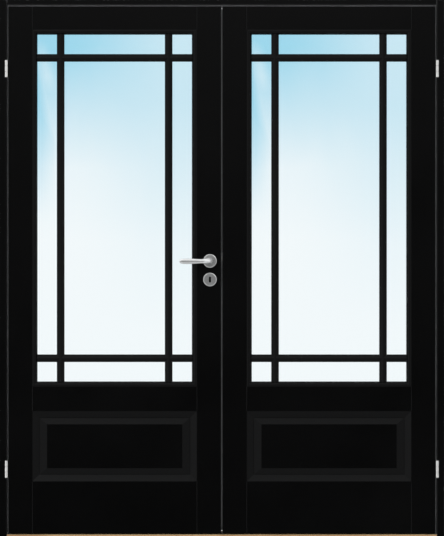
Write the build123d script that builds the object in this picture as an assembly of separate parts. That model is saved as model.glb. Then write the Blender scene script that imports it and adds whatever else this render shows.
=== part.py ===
from build123d import *
import math
import os

# A pair of glazed panel doors in their own frame, seen from the front looking along +Y.
# X runs to the right, Y to the back, Z up. The origin is on the floor, in the middle of the frame.
# The left leaf is the active one and carries the lock. All sizes are in millimetres.

# How far a cutting shape starts outside the piece that it cuts
over = 1.0

# Leaves
leaf_w = 825.0
leaf_h = 2040.0
leaf_t = 40.0
stile_w = 94.0
top_rail_h = 91.0
lock_rail_h = 94.0
bottom_rail_h = 201.0
panel_opening_h = 273.0
arris = 0.8
tenon_t = 12.0
tenon_l = 60.0
tenon_shoulder = 15.0
tenon_end_gap = 0.5
joint_gap = 0.1

# Gaps round the leaves
side_gap = 4.0
meeting_gap = 4.0
head_gap = 4.0
floor_gap = 3.5

# Frame
frame_depth = 92.0
jamb_t = 30.0
head_t = 21.0
stop_w = 12.0
threshold_h = 21.5
threshold_stop_h = 12.5
frame_round = 2.0
wall_hole_r = 7.0
wall_hole_count = 4
wall_hole_end = 145.0

# Seals in front of the stops and of the cover strip
seal_t = 3.7
seal_w = 10.0
seal_rim = 0.5
seal_stem_t = 2.6
seal_stem_l = 6.0
seal_clear = 0.3
seal_lip_round = 1.0

# Glass, its beads and its bars
glass_t = 4.0
glass_edge_gap = 3.0
bead_w = 20.0
bead_proud = 2.5
bead_edge_proud = 0.5
bead_ridge_at = 7.0
bead_ridge_w = 1.0
bead_edge_h = 6.0
bead_belly = 2.0
bar_w = 29.4
bar_h = 14.0
bar_edge_h = 4.5
bar_ridge_w = 5.0
bar_ridge_h = 1.0
cross_bar_drop = 0.6
corner_light_w = 75.0
corner_light_h = 75.0

# Raised panel and its mouldings
panel_edge_t = 10.0
panel_field_t = 33.0
panel_step = 1.5
panel_tongue = 8.0
panel_groove_gap = 0.2
bevel_side = 30.0
bevel_end = 24.5
moulding_w = 27.0
moulding_land = 1.0
moulding_end_h = 1.0

# Hinges
barrel_r = 5.9
pin_r = 3.4
knuckle_h = 20.5
knuckle_gap = 1.0
knuckle_ease = 0.8
barrel_offset = 3.8
barrel_clear = 0.6
hinge_top_drop = 242.4
hinge_bottom_rise = 248.9
plate_t = 2.5
plate_w = 30.0
plate_corner_r = 6.0
plate_notch = 3.0
pin_head_t = 1.2
pin_head_in = 0.2
pin_head_round = 0.6
fixed_fit = 0.02
running_fit = 0.05

# Screws
screw_r = 2.0
screw_head_r = 3.9
screw_l = 22.0
screw_row = 23.0
screw_in = 10.0
screw_out = 20.0
corner_screw_l = 60.0
corner_screw_in = 20.0

# Lever handle and roses
spindle_rise = 1054.0
backset = 44.0
key_drop = 72.0
spindle_w = 8.0
spindle_grip = 22.0
spindle_end_gap = 1.0
rose_r = 26.5
rose_t = 8.0
rose_rim_w = 3.6
rose_rim_h = 1.0
rose_edge_r = 2.4
neck_r = 10.3
neck_sunk = 1.0
arm_reach = 39.5
bend_r = 18.0
arm_tip_round = 2.2
# The bar's oval at places round its bend: turn in degrees, height, thickness and drop
bend_ovals = [
    (0, 2 * neck_r, 2 * neck_r, 0),
    (30, 20.4, 18.8, 0.1),
    (60, 20.0, 16.4, 0.3),
    (90, 19.4, 14.2, 0.7),
]
# The arm's oval at places along it: distance from the spindle, height, thickness and drop
arm_ovals = [
    (18, 19.4, 14.2, 0.7),
    (28, 18.4, 13.2, 1.0),
    (38, 17.9, 12.4, 1.3),
    (50, 19.1, 11.7, 1.3),
    (64, 20.2, 11.0, 1.3),
    (82, 20.9, 10.2, 1.3),
    (98, 21.0, 9.4, 1.3),
    (108, 18.8, 8.5, 1.3),
    (114, 14.8, 7.4, 1.3),
    (118, 9.0, 6.0, 1.3),
]
key_slot_w = 8.0
key_slot_h = 23.0
key_clear = 1.5
neck_clear = 1.0

# Mortise lock
case_t = 16.0
case_wall = 1.5
case_lip = 2.0
case_depth = 61.0
case_above = 50.0
case_below_key = 40.0
forend_w = 20.0
forend_h = 235.0
forend_t = 3.0
follower_r = 10.0
follower_arm = 16.0
follower_arm_r = 3.0
latch_t = 11.0
latch_h = 30.0
latch_throw = 10.5
latch_play = 0.5
latch_nose_t = 2.0
latch_lug_w = 4.0
tail_t = 8.0
tail_h = 9.0
bolt_t = 8.0
bolt_h = 34.0
bolt_l = 34.0
bolt_throw = 14.0
bolt_chamfer = 1.0
slot_clear = 0.4

# Strike plate, cover strip and flush bolts on the right leaf
strike_w = 24.0
strike_t = 2.0
strike_margin = 1.5
strip_w = 49.0
strip_cover = 14.0
strip_t = 10.0
strip_end_gap = 3.0
flush_plate_w = 20.0
flush_plate_h = 180.0
flush_plate_t = 3.0
flush_end = 105.0
flush_trough_w = 14.0
flush_trough_h = 110.0
flush_trough_depth = 18.0
flush_trough_wall = 1.5
flush_rod_r = 3.5
flush_rod_in = 14.0
flush_screw_l = 9.0
flush_throw = 18.0
flush_bore_gap = 0.5
flush_knob_w = 7.6
flush_knob_h = 14.0
flush_slot_w = 8.6
flush_tip_in = 1.0
flush_knob_in = 0.5
flush_grip_w = 1.6
flush_grip_depth = 0.7
flush_grips = 3
flush_hole_end = 3.0
keep_w = 20.0
keep_l = 40.0
keep_t = 2.0
keep_screw_l = 14.0
keep_screw_in = 5.5
keep_hole_r = 5.5

# Places that follow from the sizes above
leaf_in = meeting_gap / 2
leaf_out = leaf_in + leaf_w
jamb_face = leaf_out + side_gap
frame_half = jamb_face + jamb_t
stop_edge = jamb_face - stop_w
front = -frame_depth / 2
back = frame_depth / 2
leaf_back = front + leaf_t
leaf_mid = (front + leaf_back) / 2
stop_front = leaf_back + seal_t + seal_clear
leaf_bottom = threshold_h + floor_gap
leaf_top = leaf_bottom + leaf_h
head_face = leaf_top + head_gap
frame_top = head_face + head_t
threshold_top = threshold_h + threshold_stop_h
wall_hole_y = (front + stop_front) / 2
wall_hole_pitch = (frame_top - 2 * wall_hole_end) / (wall_hole_count - 1)

open_left = -leaf_out + stile_w
open_right = -leaf_in - stile_w
panel_bottom = leaf_bottom + bottom_rail_h
panel_top = panel_bottom + panel_opening_h
glass_bottom = panel_top + lock_rail_h
glass_top = leaf_top - top_rail_h
groove_t = panel_edge_t + 2 * panel_groove_gap
groove_depth = panel_tongue + 2 * panel_groove_gap

hinge_x = -jamb_face + side_gap / 2 - barrel_offset
hinge_y = front - barrel_clear - barrel_r
hinge_zs = {"top": leaf_top - hinge_top_drop, "bottom": leaf_bottom + hinge_bottom_rise}
knuckle_pitch = knuckle_h + knuckle_gap
plate_h = 2 * knuckle_pitch + knuckle_h

spindle_x = -leaf_in - backset
spindle_z = leaf_bottom + spindle_rise
key_z = spindle_z - key_drop
case_top = spindle_z + case_above
case_bottom = key_z - case_below_key
forend_z = (case_top + case_bottom) / 2
latch_z = spindle_z + follower_arm
flush_rod_x = leaf_in + flush_rod_in


# Small shapes

def block(x0, x1, y0, y1, z0, z1):
    """A block between two opposite corners."""
    return Pos((x0 + x1) / 2, (y0 + y1) / 2, (z0 + z1) / 2) * Box(x1 - x0, y1 - y0, z1 - z0)


def rod(start, direction, r, length):
    """A round rod from a point along a direction."""
    place = Plane(origin=start, z_dir=direction)
    return place * Cylinder(r, length, align=(Align.CENTER, Align.CENTER, Align.MIN))


def turned(profile):
    """A turned piece round the Y axis: the profile lists (radius, height out of the leaf's front)."""
    face = make_face(Polyline([(r, -h) for r, h in profile], close=True))
    return revolve(face, Axis.Y)


def length_along_x(section, x0, x1):
    """A length with a (y, z) section, from x0 to x1."""
    face = make_face(Polyline(section, close=True))
    return extrude(Plane.YZ.offset(x0) * face, x1 - x0)


def length_along_z(section, z0, z1):
    """A length with an (x, y) section, from z0 to z1."""
    return extrude(Pos(0, 0, z0) * make_face(Polyline(section, close=True)), z1 - z0)


def to_back(shape):
    """The same piece on the back of the leaf."""
    return mirror(shape, about=Plane.XZ.offset(-leaf_mid))


def to_right(shape):
    """The same piece on the other leaf."""
    return mirror(shape, about=Plane.YZ)


def screw(head, out, length, size=0.0):
    """A countersunk screw whose head lies flush at a point; size widens it to its own hole."""
    r, cone = screw_r + size, screw_head_r - screw_r
    profile = [(0, 0), (screw_head_r + size, 0), (r, -cone), (r, -length), (0, -length)]
    shape = revolve(Plane.XZ * make_face(Polyline(profile, close=True)), Axis.Z)
    return Plane(origin=head, z_dir=out) * shape


def drilled(shape, screws):
    """A piece with the holes of its screws, given as (head, outward direction, length)."""
    for head, out, length in screws:
        shape -= screw(head, out, length, fixed_fit)
    return shape


# Frame, the left half mirrored to the right

def wall_hole_zs():
    return [wall_hole_end + i * wall_hole_pitch for i in range(wall_hole_count)]


def jamb():
    """The left jamb, full height, with its wall fixing holes and hinge recesses."""
    piece = block(-frame_half, -jamb_face, front, back, 0, frame_top)
    inner = piece.edges().filter_by(Axis.Z).filter_by_position(Axis.X, -jamb_face - over, -jamb_face + over)
    piece = fillet(inner, frame_round)
    for z in wall_hole_zs():
        piece -= rod((-frame_half - over, wall_hole_y, z), (1, 0, 0), wall_hole_r, jamb_t + 2 * over)
    for z in hinge_zs.values():
        piece -= frame_plate_blank(z, joint_gap)
    return drilled(piece, frame_hinge_screws() + corner_screws())


def corner_screws():
    """Two screws at each end of the left jamb, which hold the threshold and the head."""
    ys = (front + corner_screw_in, back - corner_screw_in)
    zs = (threshold_h / 2, head_face + head_t / 2)
    return [((-frame_half, y, z), (-1, 0, 0), corner_screw_l) for y in ys for z in zs]


def both_jambs(shape):
    """A piece between the jambs, with the holes of the screws through both of them."""
    for place in corner_screws():
        hole = screw(*place, fixed_fit)
        shape = shape - hole - to_right(hole)
    return shape


def head():
    """The head between the jambs, with the keep's recess and the pocket for the top bolt."""
    piece = block(-jamb_face, jamb_face, front, back, head_face, frame_top)
    low = piece.edges().filter_by(Axis.X).filter_by_position(Axis.Z, head_face - over, head_face + over)
    piece = both_jambs(fillet(low, frame_round))
    piece -= keep_blank(head_face, head_face + keep_t, joint_gap)
    piece -= bolt_hole(head_face - over, head_face + flush_throw - head_gap + flush_hole_end)
    return drilled(piece, keep_screws(head_face, (0, 0, -1)))


def threshold():
    """The oak threshold between the jambs."""
    piece = block(-jamb_face, jamb_face, front, back, 0, threshold_h)
    high = piece.edges().filter_by(Axis.X).filter_by_position(Axis.Z, threshold_h - over, threshold_h + over)
    piece = both_jambs(fillet(high, frame_round))
    piece -= keep_blank(threshold_h - keep_t, threshold_h, joint_gap)
    piece -= bolt_hole(threshold_h - flush_throw + floor_gap - flush_hole_end, threshold_h + over)
    return drilled(piece, keep_screws(threshold_h, (0, 0, 1)))


# Stops and seals behind the leaves

def side_stop():
    """The left stop, planted on the jamb, with its edges eased and the groove for its seal."""
    piece = block(-jamb_face, -stop_edge, stop_front, back, threshold_h, head_face)
    free = piece.edges().filter_by(Axis.Z).filter_by_position(Axis.X, -stop_edge - over, -stop_edge + over)
    groove = seal_stem(-jamb_face + seal_w / 2, joint_gap)
    return fillet(free, frame_round) - length_along_z(groove, threshold_h - over, head_face + over)


def head_stop():
    """The stop under the head, between the side stops."""
    piece = block(-stop_edge, stop_edge, stop_front, back, head_face - stop_w, head_face)
    low = head_face - stop_w
    free = piece.edges().filter_by(Axis.X).filter_by_position(Axis.Z, low - over, low + over)
    groove = [(y, z) for z, y in seal_stem(head_face - seal_w / 2, joint_gap)]
    return fillet(free, frame_round) - length_along_x(groove, -stop_edge - over, stop_edge + over)


def threshold_stop():
    """The oak stop on the threshold, between the side stops, sloped at the back for the foot."""
    section = [
        (stop_front, threshold_h), (stop_front, threshold_top - frame_round),
        (stop_front + frame_round, threshold_top), (back - threshold_stop_h, threshold_top),
        (back - frame_round, threshold_h),
    ]
    return length_along_x(section, -stop_edge, stop_edge)


def seal_stem(middle, size):
    """The barb of a seal, in its groove behind the stop's face."""
    left, right = middle - seal_stem_t / 2 - size, middle + seal_stem_t / 2 + size
    outside, depth = stop_front - over, stop_front + seal_stem_l + size
    return [(left, outside), (right, outside), (right, depth), (left, depth)]


def seal_section(edge, inward):
    """A seal's section: a rounded lip on the stop, from the rebate's corner inward, and its barb."""
    near, far = edge + inward * seal_rim, edge + inward * (seal_w + seal_rim)
    lip, turn = stop_front - seal_t, inward * seal_lip_round
    shoulder, barb_end = lip + seal_lip_round, stop_front + seal_stem_l
    middle, stem = edge + inward * seal_w / 2, inward * seal_stem_t / 2
    return [
        (near, stop_front), (near, shoulder), (near + turn, lip), (far - turn, lip), (far, shoulder),
        (far, stop_front), (middle + stem, stop_front), (middle + stem, barb_end),
        (middle - stem, barb_end), (middle - stem, stop_front),
    ]


def frame_seals():
    """Three seals in front of the stops: left, right and head."""
    side = length_along_z(seal_section(-jamb_face, 1), threshold_h, head_face)
    top = [(y, z) for z, y in seal_section(head_face, -1)]
    return [side, to_right(side), length_along_x(top, -stop_edge, stop_edge)]


# Hinges, on the left side

def plate_blank(x0, x1, z, size):
    """A hinge plate let into the wood, straight at the front and rounded at the back."""
    grow = plate_h / 2 + size
    piece = block(x0, x1, front, front + plate_w + size, z - grow, z + grow)
    corners = piece.edges().filter_by(Axis.X).filter_by_position(Axis.Y, front + plate_w - over, back)
    return fillet(corners, plate_corner_r)


def frame_plate_blank(z, size):
    return plate_blank(-jamb_face - plate_t - size, -jamb_face, z, size)


def leaf_plate_blank(z, size):
    return plate_blank(-leaf_out, -leaf_out + plate_t + size, z, size)


def barrel(z, root, bore, eased_ends):
    """One knuckle: a barrel on the pin, drawn out to its plate and eased next to its neighbours."""
    hull = make_hull(Circle(barrel_r).edges() + Line(*root).edges())
    piece = extrude(Pos(hinge_x, hinge_y, z - knuckle_h / 2) * (hull - Circle(bore)), knuckle_h)
    ends = piece.faces().sort_by(Axis.Z)
    rims = [edge for end in eased_ends for edge in ends[end].outer_wire().edges()]
    return chamfer(rims, knuckle_ease)


def plate_notch_at(z0, z1):
    """The room in a plate's front edge for a knuckle of the other half."""
    return block(-frame_half, open_left, front - over, front + plate_notch, z0, z1)


def frame_hinge(z):
    """The frame half: a plate with the upper and the lower knuckle."""
    reach = knuckle_h / 2 + knuckle_gap
    piece = frame_plate_blank(z, 0) - plate_notch_at(z - reach, z + reach)
    inner, outer = -jamb_face - plate_t - hinge_x, -jamb_face - hinge_x
    root = ((inner, front - hinge_y), (outer, front - hinge_y))
    piece += barrel(z + knuckle_pitch, root, pin_r + fixed_fit, (0,))
    piece += barrel(z - knuckle_pitch, root, pin_r + fixed_fit, (-1,))
    return drilled(piece, plate_screws(-jamb_face, (1, 0, 0), z))


def leaf_hinge(z):
    """The leaf half: a plate with the middle knuckle, which turns on the pin."""
    near, far = knuckle_h / 2, plate_h
    piece = leaf_plate_blank(z, 0) - plate_notch_at(z + near, z + far) - plate_notch_at(z - far, z - near)
    inner, outer = -leaf_out - hinge_x, -leaf_out + plate_t - hinge_x
    root = ((inner, front - hinge_y), (outer, front - hinge_y))
    piece += barrel(z, root, pin_r + running_fit, (0, -1))
    return drilled(piece, plate_screws(-leaf_out, (-1, 0, 0), z))


def hinge_pin(z):
    """The pin through all three knuckles, with a flat head at each end."""
    half = knuckle_pitch + knuckle_h / 2
    pin = rod((hinge_x, hinge_y, z - half), (0, 0, 1), pin_r, 2 * half)
    for end in (-1, 1):
        head = rod((hinge_x, hinge_y, z + end * half), (0, 0, end), barrel_r - pin_head_in, pin_head_t)
        rim = head.edges().sort_by(Axis.Z)[-1 if end > 0 else 0]
        pin += fillet(rim, pin_head_round)
    return pin


def plate_screws(x, out, z):
    """Three screws of a hinge plate, as (head, outward direction, length)."""
    rows = ((screw_row, screw_in), (0, screw_out), (-screw_row, screw_in))
    return [((x, front + y, z + dz), out, screw_l) for dz, y in rows]


def frame_hinge_screws():
    return [s for z in hinge_zs.values() for s in plate_screws(-jamb_face, (1, 0, 0), z)]


def leaf_hinge_screws():
    return [s for z in hinge_zs.values() for s in plate_screws(-leaf_out, (-1, 0, 0), z)]


# Leaf joinery, on the left leaf

def member(x0, x1, z0, z1):
    """A stile or rail with the sharpness taken off the edges of both faces."""
    piece = block(x0, x1, front, leaf_back, z0, z1)
    return chamfer(piece.edges().filter_by(Axis.Y, reverse=True), arris)


def rail_ends():
    """Each rail's bottom and top."""
    return {
        "bottom": (leaf_bottom, panel_bottom),
        "lock": (panel_top, glass_bottom),
        "top": (glass_top, leaf_top),
    }


def tenons(z0, z1, size):
    """A rail's tenons at both ends, or their mortises when size widens them."""
    reach = tenon_l + (tenon_end_gap if size else 0)
    half = tenon_t / 2 + size
    low, high = z0 + tenon_shoulder - size, z1 - tenon_shoulder + size
    ends = ((open_left - reach, open_left), (open_right, open_right + reach))
    return [block(x0, x1, leaf_mid - half, leaf_mid + half, low, high) for x0, x1 in ends]


def panel_groove():
    """The groove for the panel's tongue, all round the panel's opening."""
    left, right = open_left - groove_depth, open_right + groove_depth
    y0, y1 = leaf_mid - groove_t / 2, leaf_mid + groove_t / 2
    return block(left, right, y0, y1, panel_bottom - groove_depth, panel_top + groove_depth)


def rail(z0, z1):
    piece = member(open_left, open_right, z0, z1)
    for tenon in tenons(z0, z1, 0):
        piece += tenon
    return piece - panel_groove()


def stile(x0, x1):
    piece = member(x0, x1, leaf_bottom, leaf_top)
    for z0, z1 in rail_ends().values():
        for mortise in tenons(z0, z1, joint_gap):
            piece -= mortise
    return piece - panel_groove()


def hinge_stile():
    piece = stile(-leaf_out, open_left)
    for z in hinge_zs.values():
        piece -= leaf_plate_blank(z, joint_gap)
    return drilled(piece, leaf_hinge_screws())


def meeting_stile():
    return stile(open_right, -leaf_in)


def active_meeting_stile():
    """The stile with the pocket of the lock and the holes of handle and key."""
    piece = meeting_stile()
    half = case_t / 2 + joint_gap
    left = -leaf_in - forend_t - case_depth - joint_gap
    piece -= block(left, 0, leaf_mid - half, leaf_mid + half, case_bottom - joint_gap, case_top + joint_gap)
    piece -= rounded_plate(-leaf_in - forend_t - joint_gap, 0, forend_w, forend_h, forend_z, joint_gap)
    piece -= rod((spindle_x, front - over, spindle_z), (0, 1, 0), neck_r + neck_clear, leaf_t + 2 * over)
    piece -= keyhole(front - over, leaf_back + over, key_clear)
    return drilled(piece, forend_screws())


def passive_meeting_stile():
    """The other leaf's stile with the pockets of the strike and of both flush bolts."""
    piece = to_right(meeting_stile())
    piece -= rounded_plate(0, leaf_in + strike_t + joint_gap, strike_w, forend_h, forend_z, joint_gap)
    for z, height, depth in bolt_pockets():
        half_h, half_t = height / 2 + strike_margin, latch_t / 2 + strike_margin
        piece -= block(0, leaf_in + depth, leaf_mid - half_t, leaf_mid + half_t, z - half_h, z + half_h)
    for end in (1, -1):
        piece -= flush_recess(end)
    return drilled(piece, strike_screws() + flush_screws())


def raised_panel():
    """The panel, fielded on both faces: two profiles crossed, so that the bevels meet in mitres."""

    def profile(low, high, bevel):
        edge, rise = panel_edge_t / 2, panel_field_t / 2 - panel_step
        reach = panel_tongue
        half = [
            (low - reach, edge), (low + moulding_w, edge), (low + moulding_w + bevel, rise),
            (low + moulding_w + bevel, rise + panel_step), (high - moulding_w - bevel, rise + panel_step),
            (high - moulding_w - bevel, rise), (high - moulding_w, edge), (high + reach, edge),
        ]
        return half + [(u, -n) for u, n in reversed(half)]

    across = [(x, leaf_mid + n) for x, n in profile(open_left, open_right, bevel_side)]
    upright = [(leaf_mid + n, z) for z, n in profile(panel_bottom, panel_top, bevel_end)]
    tall = length_along_z(across, panel_bottom - panel_tongue, panel_top + panel_tongue)
    wide = length_along_x(upright, open_left - panel_tongue, open_right + panel_tongue)
    return tall & wide


# Mouldings

def mitred_length(section, length, width):
    """One length of moulding along X with 45 degree ends. Its section lies in (height, width in)."""
    bar = extrude(Plane.YZ * section, length / 2, both=True)
    half = length / 2
    outline = Polyline((-half, 0), (half, 0), (half - width, width), (-half + width, width), close=True)
    return bar & extrude(Plane.XZ * make_face(outline), leaf_t, both=True)


def mitred_frame(section, width, z0, z1):
    """Four mitred lengths of moulding round an opening of the left leaf, on its front."""
    mid_x, mid_z = (open_left + open_right) / 2, (z0 + z1) / 2
    across, upright = open_right - open_left, z1 - z0
    sides = [
        (0, across, (mid_x, z0)), (90, upright, (open_left, mid_z)),
        (180, across, (mid_x, z1)), (-90, upright, (open_right, mid_z)),
    ]
    return [
        Pos(x, leaf_mid, z) * Rot(0, turn, 0) * mitred_length(section, length, width)
        for turn, length, (x, z) in sides
    ]


def bead_section():
    """A glazing bead on the front of the glass: a slope up to a ridge, then a round fall."""
    glass, edge, top = -glass_t / 2, -leaf_t / 2 - bead_edge_proud, -leaf_t / 2 - bead_proud
    ridge, low = (top, bead_ridge_at + bead_ridge_w), (glass - bead_edge_h, bead_w)
    belly = ((ridge[0] + low[0]) / 2 - bead_belly, (ridge[1] + low[1]) / 2 + bead_belly / 2)
    outline = [
        Line((glass, 0), (edge, 0)),
        Line((edge, 0), (top, bead_ridge_at)),
        Line((top, bead_ridge_at), ridge),
        ThreePointArc(ridge, belly, low),
        Line(low, (glass, bead_w)),
        Line((glass, bead_w), (glass, 0)),
    ]
    return make_face(outline)


def glazing_beads():
    return mitred_frame(bead_section(), bead_w, glass_bottom, glass_top)


def moulding_section():
    """The moulding round the panel: level with the leaf's face, then a slope down to the panel."""
    seat, top = -panel_edge_t / 2, -leaf_t / 2
    outline = [
        (seat, 0), (top, 0), (top, moulding_land),
        (seat - moulding_end_h, moulding_w), (seat, moulding_w),
    ]
    return make_face(Polyline(outline, close=True))


def panel_mouldings():
    return mitred_frame(moulding_section(), moulding_w, panel_bottom, panel_top)


# Glazing bars

def bar_profile(height):
    """A pitched bar's section, as (across, height above the glass)."""
    half, ridge, shoulder = bar_w / 2, bar_ridge_w / 2, height - bar_ridge_h
    left = [(-half, 0), (-half, bar_edge_h), (-ridge, shoulder)]
    return left + [(0, height)] + [(-u, n) for u, n in reversed(left)]


def glazing_bars():
    """Two upright bars and, coped between them, six short level ones, on the front of the glass."""
    surface = leaf_mid - glass_t / 2
    beads = glazing_beads()
    in_x, in_z = bead_w + corner_light_w + bar_w / 2, bead_w + corner_light_h + bar_w / 2
    uprights = []
    for x in (open_left + in_x, open_right - in_x):
        section = [(x + u, surface - n) for u, n in bar_profile(bar_h)]
        bar = length_along_z(section, glass_bottom + bead_ridge_at, glass_top - bead_ridge_at)
        uprights.append(coped(bar, beads))
    levels = []
    for z in (glass_bottom + in_z, glass_top - in_z):
        section = [(surface - n, z + u) for u, n in bar_profile(bar_h - cross_bar_drop)]
        bar = length_along_x(section, open_left + bead_ridge_at, open_right - bead_ridge_at)
        levels += coped(bar, beads + uprights).solids()
    return uprights + levels


def coped(bar, neighbours):
    """A bar with its ends shaped over the mouldings that it meets."""
    for neighbour in neighbours:
        bar -= neighbour
    return bar


def glass():
    """One sheet across the whole opening; the bars lie on it."""
    left, right = open_left + glass_edge_gap, open_right - glass_edge_gap
    y0, y1 = leaf_mid - glass_t / 2, leaf_mid + glass_t / 2
    return block(left, right, y0, y1, glass_bottom + glass_edge_gap, glass_top - glass_edge_gap)


# Handle set

def at_spindle(shape):
    return Pos(spindle_x, front, spindle_z) * shape


def rose_blank(bore):
    """A round rose with a raised rim, out of the leaf's front."""
    deep, inner = rose_t - rose_rim_h, rose_r - rose_rim_w
    edge = rose_edge_r * (1 - math.cos(math.radians(45)))
    profile = [
        (bore, 0), (rose_r, 0), (rose_r, rose_t - rose_edge_r), (rose_r - edge, rose_t - edge),
        (rose_r - rose_edge_r, rose_t), (inner + rose_rim_h, rose_t), (inner, deep), (bore, deep),
    ]
    return turned(profile)


def handle_rose():
    return at_spindle(rose_blank(neck_r + running_fit))


def keyhole(y0, y1, size):
    """The keyhole through a thickness: an upright slot with round ends."""
    outline = SlotOverall(key_slot_h + 2 * size, key_slot_w + 2 * size, rotation=90)
    place = Plane(origin=(spindle_x, y0, key_z), x_dir=(1, 0, 0), z_dir=(0, 1, 0))
    return extrude(place * outline, y1 - y0)


def key_rose():
    piece = Pos(spindle_x, front, key_z) * rose_blank(0)
    return piece - keyhole(front - rose_t - over, front + over, 0)


def oval(x, reach, turn, height, thickness, drop):
    """An oval across the lever's bar, which heads out of the leaf at 0 degrees and sideways at 90."""
    ahead = (-math.sin(math.radians(turn)), -math.cos(math.radians(turn)), 0)
    place = Plane(origin=(-x, -reach, -drop), x_dir=(0, 0, 1), z_dir=ahead)
    return place * Ellipse(height / 2, thickness / 2)


def bend_oval(turn, height, thickness, drop):
    angle = math.radians(turn)
    x = bend_r * (1 - math.cos(angle))
    reach = arm_reach - bend_r * (1 - math.sin(angle))
    return oval(x, reach, turn, height, thickness, drop)


def lever():
    """The lever: a round neck that bends into a flattened round arm, widening towards its tip."""
    neck_end = arm_reach - bend_r
    neck = turned([(0, -neck_sunk), (neck_r, -neck_sunk), (neck_r, neck_end), (0, neck_end)])
    bend = loft([bend_oval(*row) for row in bend_ovals])
    arm = loft([oval(x, arm_reach, 90, h, t, drop) for x, h, t, drop in arm_ovals])
    arm = fillet(arm.edges().sort_by(Axis.X)[0], arm_tip_round)
    socket = spindle_w + 2 * running_fit
    hole = block(-socket / 2, socket / 2, -spindle_grip, neck_sunk + over, -socket / 2, socket / 2)
    return at_spindle(neck + bend + arm - hole)


def spindle():
    half = spindle_w / 2
    y0, y1 = front - spindle_grip + spindle_end_gap, leaf_back + spindle_grip - spindle_end_gap
    return block(spindle_x - half, spindle_x + half, y0, y1, spindle_z - half, spindle_z + half)


# Mortise lock

def rounded_plate(x0, x1, width, height, z, size):
    """A face plate with round ends, let into the leaf's edge."""
    outline = SlotOverall(height + 2 * size, width + 2 * size, rotation=90)
    return Pos(0, leaf_mid, z) * extrude(Plane.YZ.offset(x0) * outline, x1 - x0)


def forend_screws():
    reach = forend_h / 2 - forend_w / 2
    return [((-leaf_in, leaf_mid, forend_z + reach * end), (1, 0, 0), screw_l) for end in (1, -1)]


def forend():
    """The lock's face plate with the mouths of latch and dead bolt."""
    piece = rounded_plate(-leaf_in - forend_t, -leaf_in, forend_w, forend_h, forend_z, 0)
    for z, height, width in ((latch_z, latch_h, latch_t), (key_z, bolt_h, bolt_t)):
        half_h, half_w = height / 2 + slot_clear, width / 2 + slot_clear
        x0 = -leaf_in - forend_t - over
        piece -= block(x0, 0, leaf_mid - half_w, leaf_mid + half_w, z - half_h, z + half_h)
    return drilled(piece, forend_screws())


def lock_case():
    """The lock's flat steel box, open at its front edge against the face plate."""
    x1 = -leaf_in - forend_t
    x0 = x1 - case_depth
    half = case_t / 2
    piece = block(x0, x1, leaf_mid - half, leaf_mid + half, case_bottom, case_top)
    w = case_wall
    room = half - w
    piece -= block(x0 + w, x1 + over, leaf_mid - room, leaf_mid + room, case_bottom + w, case_top - w)
    piece -= keyhole(leaf_mid - case_t, leaf_mid + case_t, key_clear)
    hub = rod((spindle_x, leaf_mid - case_t, spindle_z), (0, 1, 0), follower_r - case_lip, 2 * case_t)
    return piece - hub


def lock_follower():
    """The hub that the spindle turns, with the arm that draws the latch."""
    half = case_t / 2 - case_wall - slot_clear
    piece = rod((spindle_x, leaf_mid - half, spindle_z), (0, 1, 0), follower_r, 2 * half)
    arm = block(-follower_arm_r, follower_arm_r, -tail_t / 2, tail_t / 2, 0, follower_arm)
    arm += rod((0, -tail_t / 2, follower_arm), (0, 1, 0), follower_arm_r, tail_t)
    piece += Pos(spindle_x, leaf_mid, spindle_z) * arm
    grip = spindle_w / 2 + running_fit
    y0, y1 = leaf_mid - case_t, leaf_mid + case_t
    return piece - block(spindle_x - grip, spindle_x + grip, y0, y1, spindle_z - grip, spindle_z + grip)


def latch_bolt():
    """The sprung latch: a bevelled nose, a tail over the follower and the lug that its arm draws."""
    tip = -leaf_in + latch_throw
    root = -leaf_in - forend_t - slot_clear - latch_throw
    half_t, half_h = latch_t / 2, latch_h / 2
    nose = [
        (root, leaf_mid - half_t), (tip, leaf_mid - half_t), (tip, leaf_mid - half_t + latch_nose_t),
        (-leaf_in, leaf_mid + half_t), (root, leaf_mid + half_t),
    ]
    piece = length_along_z(nose, latch_z - half_h, latch_z + half_h)
    tail_low = latch_z + follower_arm_r + slot_clear
    lug_right = spindle_x - follower_arm_r - latch_play
    lug_left = lug_right - latch_lug_w
    y0, y1 = leaf_mid - tail_t / 2, leaf_mid + tail_t / 2
    piece += block(lug_left, root, y0, y1, tail_low, tail_low + tail_h)
    return piece + block(lug_left, lug_right, y0, y1, latch_z - 2 * follower_arm_r, tail_low + tail_h)


def dead_bolt():
    """The dead bolt, shown drawn back flush with the face plate."""
    y0, y1 = leaf_mid - bolt_t / 2, leaf_mid + bolt_t / 2
    piece = block(-leaf_in - bolt_l, -leaf_in, y0, y1, key_z - bolt_h / 2, key_z + bolt_h / 2)
    return chamfer(piece.edges().filter_by(Axis.Z).sort_by(Axis.X)[-2:], bolt_chamfer)


# Strike plate, cover strip and flush bolts, on the right leaf

def bolt_pockets():
    """The pockets behind the strike plate, as (height, opening height, depth)."""
    return ((latch_z, latch_h, latch_throw), (key_z, bolt_h, bolt_throw))


def strike_screws():
    reach = forend_h / 2 - forend_w / 2
    return [((leaf_in, leaf_mid, forend_z + reach * end), (-1, 0, 0), screw_l) for end in (1, -1)]


def strike_plate():
    piece = rounded_plate(leaf_in, leaf_in + strike_t, strike_w, forend_h, forend_z, 0)
    for z, height, depth in bolt_pockets():
        half_h, half_t = height / 2 + strike_margin, latch_t / 2 + strike_margin
        x1 = leaf_in + strike_t + over
        piece -= block(0, x1, leaf_mid - half_t, leaf_mid + half_t, z - half_h, z + half_h)
    return drilled(piece, strike_screws())


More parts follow.
